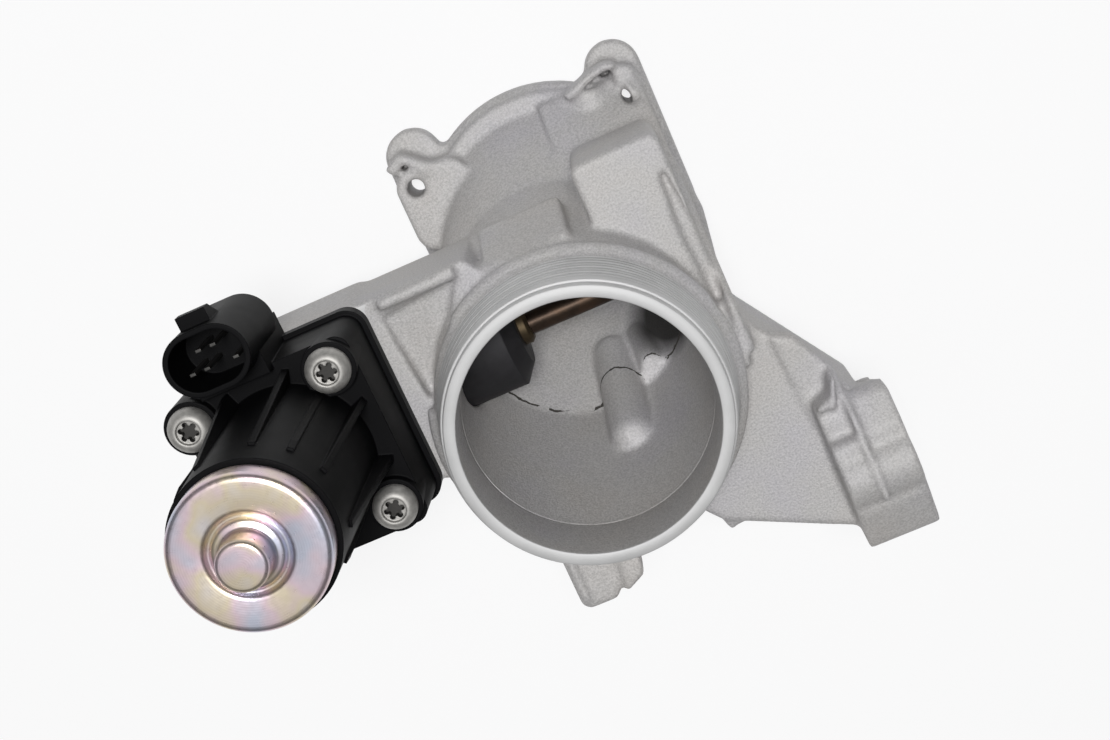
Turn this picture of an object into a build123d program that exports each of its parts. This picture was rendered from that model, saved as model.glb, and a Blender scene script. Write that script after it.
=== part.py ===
"""Lift-type exhaust gas recirculation valve with an electric actuator.

Frame: the origin is the centre of the manifold bore on the manifold flange's
sealing face.  +Z runs out of the air mouth, +X out of the exhaust gas inlet
flange, and the valve stem lies along X.  Millimetres.
"""
from build123d import *
import math
import os

# ------------------------------------------------------------------ air duct
manifold_bore = 32.0          # radius at the manifold flange
manifold_bore_depth = 8.0
barrel_foot = 7.5              # the barrel leans from here on, just under the bore's end
knee_bore = 33.0              # radius where the two cores meet
knee = (-5.0, -22.5, 32.0)    # centre of that section
mouth_bore = 34.0             # radius at the air mouth
mouth = (-8.0, -39.0, 105.0)  # centre of the mouth's rim
mouth_bore_depth = 22.0
duct_wall = 4.2
core_step = 0.5               # step at the knee between the two cores
finger_low = (-1.0, -45.5, 18.0)     # ends of the large finger boss's centre line
finger_high = (-3.0, -61.0, 49.0)
finger_radius = 6.5
small_finger_low = (9.0, -42.5, 18.0)
small_finger_high = (9.8, -51.0, 33.0)
small_finger_radius = 4.2
label_pad = (-7.0, 61.0)      # x and z of the pad's centre
label_width = 25.0
label_height = 23.0
label_proud = 1.4             # above the barrel

# ------------------------------------------------------------ manifold flange
flange_thickness = 8.0
flange_rim = 40.5             # radius of the round part
flange_half_width = 41.5
ridge_height = 3.5            # inner ridge above the flange face
bolt_x = 35.0                 # manifold bolts, half spacings
bolt_y = 26.0
bolt_hole = 5.5               # diameter
upper_lug = (33.0, 34.0)
upper_lug_radius = 8.5
lower_lug_radius = 7.0
edge_step = 1.9               # step back of the flange's right edge
edge_step_y = -12.5
side_boss = (23.2, 32.0, 14.0)
side_boss_radius = 6.5
side_boss_length = 12.0
pad_height = 17.0
pad_radius = 7.0

# -------------------------------------------------------------------- spigot
rim_radius = 37.4
rim_length = 3.0
rim_step = 0.8                # shoulder behind the rim
spigot_root = 41.0            # outer radius just above the bead
groove_count = 4
groove_pitch = 4.2
groove_width = 1.3
groove_depth = 0.7
bead_height = 79.0            # height of the bead's centre
bead_radius = 2.6
shoulder_radius = 42.0
shoulder_bottom = 66.0

# ------------------------------------------------------------- stem and valve
stem_y = -19.0
stem_z = 49.0
stem_diameter = 7.0
lift = 7.0
seat_face = 27.0              # x of the seat ring's sealing face
seat_outer = 15.5
seat_bore = 12.5
seat_length = 6.0
poppet_radius = 14.0
poppet_thickness = 3.5
running_gap = 0.05            # radial, on shafts and the stem
side_gap = 0.3                # beside anything that moves

# ------------------------------------------------------------ guide cartridge
tower_radius = 16.0
tower_nose = -20.0            # x of its end in the duct
tower_taper = 4.0
tower_relief = 4.0            # bore beyond the tower's nose
bush_radius = 5.5
bush_length = 15.0
bush_nose = 3.0               # how far the bush stands out of the tower
seal_length = 3.0
seal_radius = 7.0
spring_wire = 1.1
spring_radius = 7.5           # of the wire's centre line
spring_cavity = 9.6
spring_turns = 3.5
retainer_thickness = 1.6
seat_plate = 2.0              # plate that closes the spring cavity

# ------------------------------------------------------------------- gearbox
axis_x = -82.5                # motor and output shaft
axis_y = -19.0
box_left = -107.5
box_right = -54.0
box_low = -48.5
box_top = 10.0
box_corner = 6.0
box_wall = 3.5
box_base = 8.0                # metal under the pocket
yoke_floor_gap = 0.5          # between the yoke and the pocket's floor
cam_headroom = 9.5            # between the cam and the joint face
gasket_thickness = 0.8
screw_half_x = 19.6
screw_half_y = 20.0
tower_boss = 7.6              # radius round each cover screw
pocket_boss = 5.2             # the same below the joint face
screw_radius = 3.0
head_radius = 6.0
head_height = 4.2
block_top_y = 9.0
bridge_outline = ((-24, block_top_y), (-14, -6), (-14, -60), (-34, -56))
rail_height = 3.0             # rail along the bridge's upper edge
rail_width = 4.0
foot_boss = (-28.0, -84.0)    # boss under the spigot, and its lower half beside it
foot_boss_size = (12.0, 26.0)
foot_step = (-19.0, -82.0)
foot_step_size = (10.0, 23.0)
foot_bottom = 56.0
foot_height = 18.0
foot_corner = 3.0

# --------------------------------------------------------------------- cover
cover_wall = 2.4
cover_lip = 4.0               # height of the cover's rim
cover_inset = 1.2             # step from the rim to the gear case
roof_gap = 7.6                # between the upper wheel and the roof's underside
tower_height = 3.0            # screw towers above the roof
thread_depth = 16.0           # tapped hole below the joint face
thread_reach = 14.0           # screw below the joint face
barrel_root = 21.6            # radius of the motor barrel at the roof
barrel_top_radius = 20.2
barrel_length = 58.0
gusset = 1.8
connector_x = -86.0
connector_y = 17.5
connector_rise = 17.0         # socket mouth above the roof
connector_width = 19.5
connector_depth = 14.0
connector_wall = 1.4
connector_cavity = 19.0
connector_lift = 7.2          # socket's round part above the rim's joint

# --------------------------------------------------------------------- motor
can_radius = 17.6
can_wall = 1.2
can_seat = 2.0                # can above the roof
cap_radius = 19.0
cap_thickness = 6.5
cap_edge = 2.4
cap_boss = 6.2
cap_boss_height = 7.5
cap_ring = 10.5
rotor_radius = 12.5
rotor_length = 38.0
motor_shaft = 1.6             # radius

# --------------------------------------------------------------------- gears
module_size = 0.8
pinion_teeth = 10
wheel_teeth = 26
pressure_angle = 20.0
backlash = 0.22
wheel_width = 4.0
pinion_width = 5.0
wheel_gap = 3.2               # output wheel above the gasket
layer_gap = 4.0               # between the two wheels' layers
inter_pin = 1.8               # radius of the fixed pin

# ----------------------------------------------------------------- cam drive
cam_range = 120.0             # degrees
cam_thickness = 4.0
cam_gap = 5.0                 # between the yoke and the cam
cam_reach = 17.5              # follower radius with the valve closed
cam_web = 2.0                 # metal outside the slot
cam_hub = 6.5
output_shaft = 4.0            # radius
bush_depth = 5.0              # output bush below the pocket's floor
roller_radius = 2.5
follower_pin = 1.2            # radius
yoke_half = 5.0
yoke_height = 4.5             # half height

# --------------------------------------------------------- gas inlet and arm
inlet_face = 68.0
inlet_thickness = 21.0
inlet_y = -91.0
inlet_z = 46.0
inlet_bore = 13.0
inlet_bolt_spacing = 50.0
inlet_bolt_hole = 8.5
inlet_boss = 9.0
inlet_low = -114.0
chamber_inner = 30.3
chamber_outer = 35.3
seat_proud = 0.3              # seat ring into the chamber
chamber_low = 37.0
chamber_high = 61.0
chamber_top_y = -1.0
gas_way_width = 18.0
gas_way_height = 22.0
gas_way_corner = 2.0
gas_way_end = 44.0            # -y where the slanted run meets the chamber
chamber_side = 1.7            # wall beyond the chamber
chamber_lid = 5.0             # metal over the chamber
box_block_left = 11.5         # block over the chamber, on plan
block_near = -41.0
block_far = 19.0
block_corner = 3.0
arm_low = 28.0
arm_high = 63.0
arm_outline = ((10, -30), (38, -37), (62, -73), (62, -108), (47, -109), (12, -92), (-6, -70))
arm_corner = 5.0
web_thickness = 2.6
web_right = 39.0
wedge_left = 8.0
wedge_profile = ((33, 2), (33, 15), (-30, 68), (-50, 72), (-56, 30), (-34, 2))   # y, z
web_profile = ((33, 2), (33, 15), (-32, 71), (-47, 71), (-47, 26), (-31, 2))     # y, z
inlet_outline = (             # y and z from the inlet's axis, without the two corners at inlet_low
    (-10, 30), (12, 30), (23, 24), (10, -20), (7, -28), (-10, -28),
)
inlet_foot = 24.0             # half height of the edge at inlet_low
inlet_corner = 4.0
inlet_trim = ((39, -34), (69, -72), (90, -60), (60, -10), (40, -10))

# ------------------------------------------------------------ worked-out sizes
box_floor = stem_z - yoke_height - yoke_floor_gap
box_bottom = box_floor - box_base
cam_height = stem_z + yoke_height + cam_gap
joint_height = cam_height + cam_thickness + cam_headroom
cover_base = joint_height + gasket_thickness
output_wheel_height = cover_base + wheel_gap
upper_wheel_height = output_wheel_height + wheel_width + layer_gap
cover_roof = upper_wheel_height + wheel_width + roof_gap + cover_wall
screw_seat = cover_roof + tower_height
can_bottom = cover_roof + can_seat
barrel_top = cover_roof + barrel_length
connector = (connector_x, connector_y, cover_roof + connector_rise)
connector_foot = cover_base + connector_lift
centre_distance = module_size * (pinion_teeth + wheel_teeth) / 2
inter_y = axis_y - centre_distance
pinion_bore = module_size * (pinion_teeth / 2 + 1) + 0.7
cam_rate = lift / math.radians(cam_range)
pin_x = axis_x + cam_reach
slot_half = roller_radius + side_gap
mouth_x, mouth_y, mouth_z = mouth
wall_face = box_right - 2.0   # x of the pocket's wall on the stem side
cavity_end = wall_face + seat_plate
bush_end = tower_nose - bush_length
seal_end = bush_end - seal_length
retainer_face = seal_end - 1.0
can_top = barrel_top + 1.0
screw_spots = [
    (axis_x + sx * screw_half_x, axis_y + sy * screw_half_y) for sx in (-1, 1) for sy in (-1, 1)
]
manifold_bolts = [(sx * bolt_x, sy * bolt_y) for sx in (-1, 1) for sy in (-1, 1)]
stem_plane = Plane(origin=(0, stem_y, stem_z), x_dir=(0, 1, 0), z_dir=(1, 0, 0))
inlet_plane = Plane(origin=(0, inlet_y, inlet_z), x_dir=(0, 1, 0), z_dir=(1, 0, 0))
label_slope = math.atan2(knee[1] - mouth_y, bead_height - knee[2])
label_surface = (
    knee[1] + (mouth_y - knee[1]) * (label_pad[1] - knee[2]) / (bead_height - knee[2])
    + knee_bore + duct_wall + (spigot_root - knee_bore - duct_wall) * (label_pad[1] - knee[2]) / (bead_height - knee[2])
)
label_plane = Plane(
    origin=(label_pad[0], label_surface, label_pad[1]), x_dir=(1, 0, 0),
    z_dir=(0, math.cos(label_slope), math.sin(label_slope)),
)


def stem_disc(radius, start, length):
    """Round bar on the stem axis, from x = start towards +X."""
    with BuildSketch(stem_plane.offset(start)) as section:
        Circle(radius)
    extrude(section.sketch, amount=length)


def stem_hole(radius, start, length):
    """Round hole on the stem axis, from x = start towards +X."""
    with BuildSketch(stem_plane.offset(start)) as section:
        Circle(radius)
    extrude(section.sketch, amount=length, mode=Mode.SUBTRACT)


def post(x, y, radius, bottom, top, mode=Mode.ADD):
    """Round post or hole parallel to Z."""
    with BuildSketch(Plane.XY.offset(bottom)) as section:
        with Locations((x, y)):
            Circle(radius)
    extrude(section.sketch, amount=top - bottom, mode=mode)


def duct_stage(low, high, mode=Mode.ADD):
    """Straight-sided stage of the duct between two round sections (x, y, z, radius)."""
    sections = []
    for x, y, z, radius in (low, high):
        with BuildSketch(Plane.XY.offset(z)) as section:
            with Locations((x, y)):
                Circle(radius)
        sections.append(section.sketch)
    loft(sections=sections, ruled=True, mode=mode)


def finger_cut(low, high, radius):
    """Round-ended finger between two points, taken out of a core."""
    run = Vector(*high) - Vector(*low)
    with BuildSketch(Plane(origin=low, z_dir=run)) as section:
        Circle(radius)
    extrude(section.sketch, amount=run.length, mode=Mode.SUBTRACT)
    with Locations(low, high):
        Sphere(radius, mode=Mode.SUBTRACT)


def involute(angle):
    return math.tan(angle) - angle


def gear_profile(teeth, turn):
    """Closed involute outline, one tooth centred on the angle `turn` in degrees."""
    pitch_radius = module_size * teeth / 2
    base_radius = pitch_radius * math.cos(math.radians(pressure_angle))
    root_radius = pitch_radius - 1.25 * module_size
    tip_radius = pitch_radius + 0.9 * module_size
    half_pitch = (math.pi * module_size / 2 - backlash) / (2 * pitch_radius)
    flank_start = max(base_radius, root_radius)
    flank = []
    for step in range(4):
        radius = flank_start + (tip_radius - flank_start) * step / 3
        local = math.acos(min(1.0, base_radius / radius))
        half = half_pitch + involute(math.radians(pressure_angle)) - involute(local)
        flank.append((radius, half))
    if root_radius < base_radius:
        flank.insert(0, (root_radius, flank[0][1]))
    points = []
    for tooth in range(teeth):
        centre = math.radians(turn) + 2 * math.pi * tooth / teeth
        for radius, half in flank:
            points.append((radius * math.cos(centre - half), radius * math.sin(centre - half)))
        for radius, half in reversed(flank):
            points.append((radius * math.cos(centre + half), radius * math.sin(centre + half)))
    with BuildLine() as outline:
        Polyline(*points, close=True)
    make_face(outline.edges())


# ======================================================= shared plan outlines
with BuildSketch() as box_outline:
    with Locations(((box_left + box_right) / 2, (box_low + box_top) / 2)):
        RectangleRounded(box_right - box_left, box_top - box_low, box_corner)
    with Locations(*screw_spots):
        Circle(tower_boss)

with BuildSketch() as pocket_outline:
    with Locations(((box_left + wall_face + box_wall) / 2, (box_low + box_top) / 2)):
        RectangleRounded(
            wall_face - box_left - box_wall, box_top - box_low - 2 * box_wall, box_corner - box_wall / 2
        )
    with Locations(*screw_spots):
        Circle(pocket_boss, mode=Mode.SUBTRACT)

# ======================================================= core of the air way
# the two halves of the core meet at the knee, where the mouth side is a step larger
with BuildPart() as air_core:
    post(0, 0, manifold_bore, 0, manifold_bore_depth)
    duct_stage((0, 0, manifold_bore_depth, manifold_bore), (knee[0], knee[1], knee[2], knee_bore))
    # finger bosses stand in the air way's lower wall, the small one on this half only
    finger_cut(small_finger_low, small_finger_high, small_finger_radius)
    duct_stage(
        (knee[0], knee[1], knee[2], knee_bore + core_step),
        (mouth_x, mouth_y, mouth_z - mouth_bore_depth, mouth_bore),
    )
    post(mouth_x, mouth_y, mouth_bore, mouth_z - mouth_bore_depth, mouth_z)
    finger_cut(finger_low, finger_high, finger_radius)

# ==================================================================== housing
with BuildPart() as housing:
    # manifold flange with its lugs, inner ridge and bolt pads
    with BuildSketch():
        Circle(flange_rim)
        with Locations((0, (upper_lug[1] - bolt_y) / 2)):
            Rectangle(2 * flange_half_width, upper_lug[1] + bolt_y)
        with Locations(upper_lug, (-upper_lug[0], upper_lug[1])):
            Circle(upper_lug_radius)
        lower_lug_x = flange_half_width - lower_lug_radius
        with Locations((lower_lug_x, -bolt_y), (-lower_lug_x, -bolt_y)):
            Circle(lower_lug_radius)
        with Locations((flange_half_width, edge_step_y)):
            Rectangle(2 * edge_step, 60, align=(Align.CENTER, Align.MAX), mode=Mode.SUBTRACT)
    extrude(amount=flange_thickness)
    post(0, 0, manifold_bore + duct_wall + 2.2, 0, flange_thickness + ridge_height)
    for side in (-1, 1):
        with BuildSketch(Plane.XY.offset(flange_thickness)):
            with Locations((side * bolt_x, bolt_y), (side * bolt_x, bolt_y - 14)):
                Circle(pad_radius - 1.0)
            with Locations((side * (bolt_x - 10), bolt_y - 2)):
                Circle(pad_radius)
            make_hull()
        extrude(amount=pad_height - flange_thickness)
        with BuildSketch(Plane.XY.offset(flange_thickness)):
            with Locations((side * bolt_x, -bolt_y), (side * (bolt_x - 12), -bolt_y + 6)):
                Circle(pad_radius - 1.0)
            make_hull()
        extrude(amount=pad_height - flange_thickness)
    # barrel of the duct
    post(0, 0, manifold_bore + duct_wall, 1, barrel_foot)
    duct_stage(
        (0, 0, barrel_foot, manifold_bore + duct_wall),
        (knee[0], knee[1], knee[2], knee_bore + duct_wall),
    )
    duct_stage(
        (knee[0], knee[1], knee[2], knee_bore + duct_wall),
        (mouth_x, mouth_y, bead_height, spigot_root),
    )
    # bare pad for a label on top of the barrel
    with BuildSketch(label_plane.offset(-label_height / 2)):
        RectangleRounded(label_width, label_height, 2)
    extrude(amount=label_height / 2 + label_proud)
    # spigot, bead and shoulder
    duct_stage(
        (mouth_x, mouth_y, bead_height, spigot_root),
        (mouth_x, mouth_y, mouth_z - rim_length, rim_radius + rim_step),
    )
    post(mouth_x, mouth_y, rim_radius, mouth_z - rim_length, mouth_z)
    post(mouth_x, mouth_y, shoulder_radius, shoulder_bottom, bead_height - bead_radius)
    with Locations((mouth_x, mouth_y, bead_height)):
        Torus(spigot_root, bead_radius)
    for number in range(groove_count):
        groove_low = bead_height + bead_radius + 1.6 + number * groove_pitch
        share = (groove_low - bead_height) / (mouth_z - rim_length - bead_height)
        groove_floor = spigot_root + (rim_radius + rim_step - spigot_root) * share - groove_depth
        with BuildSketch(Plane.XY.offset(groove_low)):
            with Locations((mouth_x, mouth_y)):
                Circle(spigot_root + 2)
                Circle(groove_floor, mode=Mode.SUBTRACT)
        extrude(amount=groove_width, mode=Mode.SUBTRACT)
    # valve chamber on the inlet side: its front slopes from the lug to the spigot
    with BuildSketch(Plane.YZ.offset(wedge_left)):
        with BuildLine():
            Polyline(*wedge_profile, close=True)
        make_face()
    extrude(amount=web_right - web_thickness - wedge_left)
    with BuildSketch(Plane.YZ.offset(web_right - web_thickness)):
        with BuildLine():
            Polyline(*web_profile, close=True)
        make_face()
    extrude(amount=web_thickness)
    with BuildSketch(Plane.XY.offset(chamber_low)):
        with Locations(((box_block_left + chamber_outer + chamber_side) / 2, (block_near + block_far) / 2)):
            RectangleRounded(
                chamber_outer + chamber_side - box_block_left, block_far - block_near, block_corner
            )
    extrude(amount=chamber_high + chamber_lid - chamber_low)
    with BuildSketch(Plane.XY.offset(flange_thickness)):
        with Locations(((box_block_left + chamber_outer + chamber_side) / 2, block_far - 12)):
            RectangleRounded(chamber_outer + chamber_side - box_block_left, 24, block_corner)
    extrude(amount=chamber_low - flange_thickness)
    # arm out to the gas inlet flange
    with BuildSketch(Plane.XY.offset(arm_low)):
        with BuildLine():
            Polyline(*arm_outline, close=True)
        make_face()
        fillet(vertices().group_by(Axis.Y)[0], radius=arm_corner)
    extrude(amount=arm_high - arm_low)
    with BuildSketch(inlet_plane.offset(inlet_face - inlet_thickness)):
        with BuildLine():
            Polyline(
                (inlet_low - inlet_y, -inlet_foot), (inlet_low - inlet_y, inlet_foot),
                *inlet_outline, close=True,
            )
        make_face()
        fillet(vertices(), radius=inlet_corner)
        with Locations((0, inlet_bolt_spacing / 2), (0, -inlet_bolt_spacing / 2)):
            Circle(inlet_boss)
    extrude(amount=inlet_thickness)
    with BuildSketch(Plane.XY.offset(0)):
        with BuildLine():
            Polyline(*inlet_trim, close=True)
        make_face()
    extrude(amount=mouth_z, mode=Mode.SUBTRACT)
    # turned boss beside the right upper lug
    with BuildSketch(Plane.XZ.offset(-side_boss[1])):
        with Locations((side_boss[0], side_boss[2])):
            Circle(side_boss_radius)
    extrude(amount=side_boss_length)
    # casting of the gearbox and the block between it and the duct
    with BuildSketch(Plane.XY.offset(box_bottom)):
        add(box_outline.sketch_local)
        with BuildLine():
            Polyline((box_right - 2, box_low + 4), (box_right - 18, block_top_y), *bridge_outline, close=True)
        make_face()
    extrude(amount=joint_height - box_bottom)
    with BuildSketch(Plane.XY.offset(joint_height)):
        with BuildLine():
            Polyline(
                (box_right + 4, block_top_y - rail_width), (box_right + 4, block_top_y - 1),
                (bridge_outline[0][0] - 3, block_top_y),
                (bridge_outline[0][0] - 3, block_top_y - rail_width), close=True,
            )
        make_face()
    extrude(amount=rail_height)
    # boss under the spigot
    with BuildSketch(Plane.XY.offset(foot_bottom)):
        with Locations(foot_boss):
            RectangleRounded(*foot_boss_size, foot_corner)
        with Locations(foot_step):
            RectangleRounded(*foot_step_size, foot_corner)
    extrude(amount=foot_height)

    # ---- hollows
    add(air_core.part, mode=Mode.SUBTRACT)
    # gas way: flange bore, slanted run and the flat chamber behind the seat
    with BuildSketch(inlet_plane.offset(inlet_face - inlet_thickness - 1)):
        Circle(inlet_bore)
        with Locations((0, inlet_bolt_spacing / 2), (0, -inlet_bolt_spacing / 2)):
            Circle(inlet_bolt_hole / 2)
    extrude(amount=inlet_thickness + 1, mode=Mode.SUBTRACT)
    chamber_middle = (chamber_inner + chamber_outer) / 2
    with BuildSketch(Plane.XZ.offset(-inlet_y)) as gas_way_outer:
        with Locations((inlet_face - inlet_thickness + 4, inlet_z)):
            RectangleRounded(gas_way_width, gas_way_height, gas_way_corner)
    with BuildSketch(Plane.XZ.offset(gas_way_end)) as gas_way_inner:
        with Locations((chamber_middle, stem_z)):
            RectangleRounded(chamber_outer - chamber_inner, chamber_high - chamber_low, gas_way_corner)
    loft(sections=[gas_way_outer.sketch, gas_way_inner.sketch], ruled=True, mode=Mode.SUBTRACT)
    with BuildSketch(Plane.XZ.offset(-chamber_top_y)):
        with Locations((chamber_middle, stem_z)):
            RectangleRounded(chamber_outer - chamber_inner, chamber_high - chamber_low, gas_way_corner)
    extrude(amount=gas_way_end + chamber_top_y, mode=Mode.SUBTRACT)
    stem_hole(seat_outer, seat_face, chamber_inner - seat_face + seat_proud)
    stem_hole(poppet_radius + 1.5, seat_face - lift - poppet_thickness - 3, lift + poppet_thickness + 3)
    # guide cartridge seat and the gear pocket
    stem_hole(tower_radius, wall_face, tower_nose - wall_face + tower_relief)
    with BuildSketch(Plane.XY.offset(box_floor)):
        add(pocket_outline.sketch_local)
    extrude(amount=joint_height - box_floor, mode=Mode.SUBTRACT)
    post(axis_x, axis_y, output_shaft + 1.5, box_floor - bush_depth, box_floor, Mode.SUBTRACT)
    for x, y in screw_spots:
        post(x, y, screw_radius + running_gap, joint_height - thread_depth, joint_height, Mode.SUBTRACT)
    # bolt holes
    for x, y in manifold_bolts:
        post(x, y, bolt_hole / 2, 0, pad_height + flange_thickness, Mode.SUBTRACT)
housing.part.label = "housing"


# ======================================================= valve, seat and stem
with BuildPart() as seat_ring:
    stem_disc(seat_outer, seat_face, chamber_inner - seat_face + seat_proud)
    stem_hole(seat_bore, seat_face, seat_length + 2)
    chamfer(edges().filter_by(GeomType.CIRCLE).group_by(Axis.X)[0].sort_by(SortBy.RADIUS)[0], length=1.2)
seat_ring.part.label = "seat_ring"

with BuildPart() as poppet:
    with BuildSketch(Plane.XY.offset(stem_z)):
        with BuildLine():
            Polyline(
                (seat_face, stem_y), (seat_face, stem_y + poppet_radius),
                (seat_face - 1.2, stem_y + poppet_radius), (seat_face - poppet_thickness, stem_y + 9),
                (seat_face - poppet_thickness - 1, stem_y + 5.5), (seat_face - poppet_thickness - 1, stem_y),
                close=True,
            )
        make_face()
    revolve(axis=Axis((0, stem_y, stem_z), (1, 0, 0)))
poppet.part.label = "poppet"

stem_start = seat_face - poppet_thickness - 1
stem_end = pin_x + yoke_half - 1.5
with BuildPart() as stem:
    stem_disc(stem_diameter / 2, stem_end, stem_start - stem_end)
    chamfer(edges().filter_by(GeomType.CIRCLE).group_by(Axis.X)[0], length=0.5)
stem.part.label = "stem"

# ============================================================ guide cartridge
with BuildPart() as guide_tower:
    stem_disc(tower_radius - running_gap, cavity_end, tower_nose - cavity_end)
    chamfer(
        edges().filter_by(GeomType.CIRCLE).group_by(Axis.X)[-1],
        length=tower_taper, length2=tower_taper * 1.3,
    )
    stem_hole(bush_radius, bush_end, bush_length)
    stem_hole(seal_radius, seal_end, seal_length)
    stem_hole(spring_cavity, cavity_end, seal_end - cavity_end)
guide_tower.part.label = "guide_tower"

with BuildPart() as guide_bush:
    stem_disc(bush_radius, bush_end, bush_length + bush_nose)
    stem_hole(stem_diameter / 2 + running_gap, bush_end, bush_length + bush_nose)
    chamfer(edges().filter_by(GeomType.CIRCLE).group_by(Axis.X)[-1].sort_by(SortBy.RADIUS)[-1], length=1.0)
guide_bush.part.label = "guide_bush"

with BuildPart() as stem_seal:
    stem_disc(seal_radius - running_gap, seal_end, seal_length)
    stem_hole(stem_diameter / 2 + running_gap, seal_end, seal_length)
stem_seal.part.label = "stem_seal"

with BuildPart() as spring_retainer:
    stem_disc(spring_cavity - 1.0, retainer_face - retainer_thickness, retainer_thickness)
    stem_disc(spring_radius - spring_wire, retainer_face - retainer_thickness - 1.6, 1.6)
    stem_hole(stem_diameter / 2 + running_gap, retainer_face - retainer_thickness - 1.6, retainer_thickness + 1.6)
spring_retainer.part.label = "spring_retainer"

with BuildPart() as spring_seat:
    stem_disc(tower_radius - running_gap, wall_face, seat_plate)
    stem_hole(stem_diameter / 2 + side_gap, wall_face, seat_plate)
spring_seat.part.label = "spring_seat"

spring_start = cavity_end + spring_wire / 2
spring_end = retainer_face - retainer_thickness - spring_wire / 2
with BuildPart() as return_spring:
    with BuildLine() as coil:
        Helix(
            pitch=(spring_end - spring_start) / spring_turns, height=spring_end - spring_start,
            radius=spring_radius, center=(spring_start, stem_y, stem_z), direction=(1, 0, 0),
        )
    with BuildSketch(Plane(origin=coil.line @ 0, z_dir=coil.line % 0)):
        RegularPolygon(spring_wire / 2, 6)
    sweep(path=coil.line)
return_spring.part.label = "return_spring"

# ================================================================== stem head
with BuildPart() as stem_yoke:
    with BuildSketch(Plane.XY.offset(stem_z - yoke_height)):
        with Locations((pin_x, stem_y)):
            RectangleRounded(2 * yoke_half, 11, 2)
    extrude(amount=2 * yoke_height)
    stem_hole(stem_diameter / 2, stem_end, yoke_half)
    post(pin_x, stem_y, follower_pin, stem_z - yoke_height, stem_z + yoke_height, Mode.SUBTRACT)
stem_yoke.part.label = "stem_yoke"

with BuildPart() as follower_axle:
    post(pin_x, stem_y, follower_pin, stem_z - yoke_height, cam_height + cam_thickness)
    post(pin_x, stem_y, 2.2, cam_height + cam_thickness, cam_height + cam_thickness + 0.8)
follower_axle.part.label = "follower_pin"

with BuildPart() as follower_roller:
    post(pin_x, stem_y, roller_radius, cam_height, cam_height + cam_thickness)
    post(pin_x, stem_y, follower_pin + running_gap, cam_height, cam_height + cam_thickness, Mode.SUBTRACT)
follower_roller.part.label = "follower_roller"

# ========================================================== cam and its shaft
def spiral(offset, start, end, steps):
    """Points of the cam's spiral, moved outwards by `offset`, between two cam angles."""
    points = []
    for step in range(steps + 1):
        angle = start + (end - start) * step / steps
        radius = cam_reach - cam_rate * angle + offset
        points.append((axis_x + radius * math.cos(-angle), axis_y + radius * math.sin(-angle)))
    return points


sweep_angle = math.radians(cam_range)
with BuildPart() as cam:
    with BuildSketch(Plane.XY.offset(cam_height)):
        with BuildLine():
            outer_edge = Spline(*spiral(slot_half + cam_web, 0, sweep_angle, 12))
            inner_edge = Spline(*spiral(-slot_half - cam_web, 0, sweep_angle, 12))
            Line(outer_edge @ 0, inner_edge @ 0)
            Line(outer_edge @ 1, inner_edge @ 1)
        make_face()
        for end_point in (spiral(0, 0, sweep_angle, 1)):
            with Locations(end_point):
                Circle(slot_half + cam_web)
        with Locations((axis_x, axis_y)):
            Circle(cam_hub)
        with BuildLine():
            outer_edge = Spline(*spiral(slot_half, 0, sweep_angle, 12))
            inner_edge = Spline(*spiral(-slot_half, 0, sweep_angle, 12))
            Line(outer_edge @ 0, inner_edge @ 0)
            Line(outer_edge @ 1, inner_edge @ 1)
        make_face(mode=Mode.SUBTRACT)
        for end_point in (spiral(0, 0, sweep_angle, 1)):
            with Locations(end_point):
                Circle(slot_half, mode=Mode.SUBTRACT)
    extrude(amount=cam_thickness)
    post(axis_x, axis_y, cam_hub - 1.5, cam_height + cam_thickness, cam_height + cam_thickness + 3)
    post(axis_x, axis_y, output_shaft, cam_height, cam_height + cam_thickness + 3, Mode.SUBTRACT)
cam.part.label = "cam"

shaft_top = output_wheel_height + wheel_width + 1.0
with BuildPart() as drive_shaft:
    post(axis_x, axis_y, output_shaft, box_floor - bush_depth, shaft_top)
    chamfer(edges().filter_by(GeomType.CIRCLE), length=0.4)
drive_shaft.part.label = "output_shaft"

with BuildPart() as output_bush:
    post(axis_x, axis_y, output_shaft + 1.5, box_floor - bush_depth, box_floor + 2)
    post(axis_x, axis_y, output_shaft + running_gap, box_floor - bush_depth, box_floor + 2, Mode.SUBTRACT)
output_bush.part.label = "output_bush"

# ======================================================================= gears
with BuildPart() as output_wheel:
    with BuildSketch(Plane(origin=(axis_x, axis_y, output_wheel_height))):
        gear_profile(wheel_teeth, -90)
        Circle(output_shaft, mode=Mode.SUBTRACT)
        with PolarLocations(7.0, 5):
            Circle(1.4, mode=Mode.SUBTRACT)
    extrude(amount=wheel_width)
output_wheel.part.label = "output_wheel"

with BuildPart() as inter_wheel:
    with BuildSketch(Plane(origin=(axis_x, inter_y, upper_wheel_height))):
        gear_profile(wheel_teeth, 90 + 180 / wheel_teeth)
        with PolarLocations(6.8, 5):
            Circle(1.5, mode=Mode.SUBTRACT)
    extrude(amount=wheel_width)
    with BuildSketch(Plane(origin=(axis_x, inter_y, output_wheel_height - 0.5))):
        gear_profile(pinion_teeth, 90 + 180 / pinion_teeth)
    extrude(amount=upper_wheel_height - output_wheel_height + 0.5)
    post(
        axis_x, inter_y, inter_pin + running_gap,
        output_wheel_height - 0.5, upper_wheel_height + wheel_width, Mode.SUBTRACT,
    )
inter_wheel.part.label = "intermediate_wheel"

with BuildPart() as inter_axle:
    post(axis_x, inter_y, inter_pin, cover_base - 0.8, cover_roof - cover_wall)
    post(axis_x, inter_y, inter_pin + 1.6, cover_base - 0.8, output_wheel_height - 0.8)
inter_axle.part.label = "intermediate_pin"

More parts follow.
